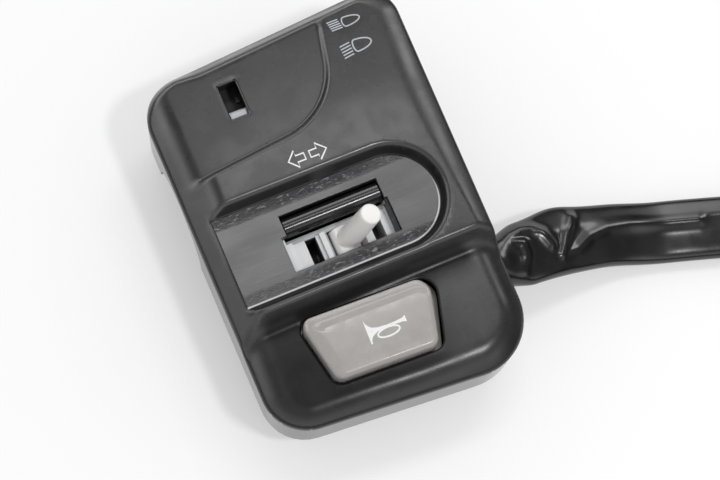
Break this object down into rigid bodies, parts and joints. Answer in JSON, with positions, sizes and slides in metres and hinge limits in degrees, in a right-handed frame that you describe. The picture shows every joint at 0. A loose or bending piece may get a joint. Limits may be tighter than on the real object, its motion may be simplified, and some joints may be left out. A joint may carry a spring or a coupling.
{
  "type": "motorbike handlebar switch cluster",
  "caption": "Left-hand handlebar switch cluster: two-part bar clamp housing with dimmer slide, turn-signal carriage and lever, horn button, and a sleeved lead coiled to its plug.",
  "frame": {"origin": "on the handlebar axis at the middle of the housing's width", "axes": "+X along the bar to the lead side, +Y up the face, +Z out of the face"},
  "size_m": [0.2603, 0.1223, 0.0405],
  "materials": {
    "housing": "fine grained black moulding",
    "gloss_black": "gloss black, lightly scratched",
    "grey_nylon": "natural light grey nylon",
    "white_acetal": "satin white acetal",
    "button_grey": "satin warm grey",
    "inner_black": "matte black",
    "screw_steel": "zinc plated",
    "brass": "plain contact brass",
    "board": "brown laminate board",
    "sleeve": "glossy soft vinyl",
    "grommet_rubber": "matte rubber",
    "plug_nylon": "natural white nylon"
  },
  "bodies": {
    "housing": {"front_housing": "housing", "rear_housing": "housing", "housing_screws": "screw_steel", "turn_bezel": "gloss_black", "turn_rail": "gloss_black", "turn_frame": "grey_nylon", "turn_board": "board", "turn_terminals": "brass", "horn_base": "inner_black", "horn_terminals": "brass", "horn_spring": "screw_steel", "dimmer_guide": "inner_black", "dimmer_terminals": "brass", "module_screws": "screw_steel", "inner_leads": "sleeve", "cable_grommet": "grommet_rubber", "harness_lead": "sleeve", "harness_coil": "sleeve", "plug_boot": "grommet_rubber", "plug_housing": "plug_nylon", "plug_terminals": "brass"},
    "carriage": {"turn_carriage": "grey_nylon", "detent_ball": "screw_steel", "detent_spring": "screw_steel", "turn_contact": "brass"},
    "lever": {"turn_lever": "white_acetal"},
    "horn": {"horn_button": "button_grey", "horn_contact": "brass"},
    "dimmer": {"dimmer_slider": "white_acetal", "dimmer_contact": "brass"}
  },
  "joints": [
    {"name": "turn_slide", "type": "slide", "parent": "housing", "child": "carriage", "axis": [1, 0, 0], "range_m": [-0.0023, 0.0023]},
    {"name": "lever_rock", "type": "hinge", "parent": "carriage", "child": "lever", "pos_m": [-0.0006, -0.0199, 0.0116], "axis": [0, 1, 0], "range_deg": [-36, 0]},
    {"name": "horn_press", "type": "slide", "parent": "housing", "child": "horn", "axis": [0, 0, -1], "range_m": [0, 0.0022], "stiffness_N_per_m": 700, "springref_m": -0.003, "deforming": ["horn_spring"]},
    {"name": "dimmer_slide", "type": "slide", "parent": "housing", "child": "dimmer", "axis": [0, 1, 0], "range_m": [0, 0.0058]}
  ]
}
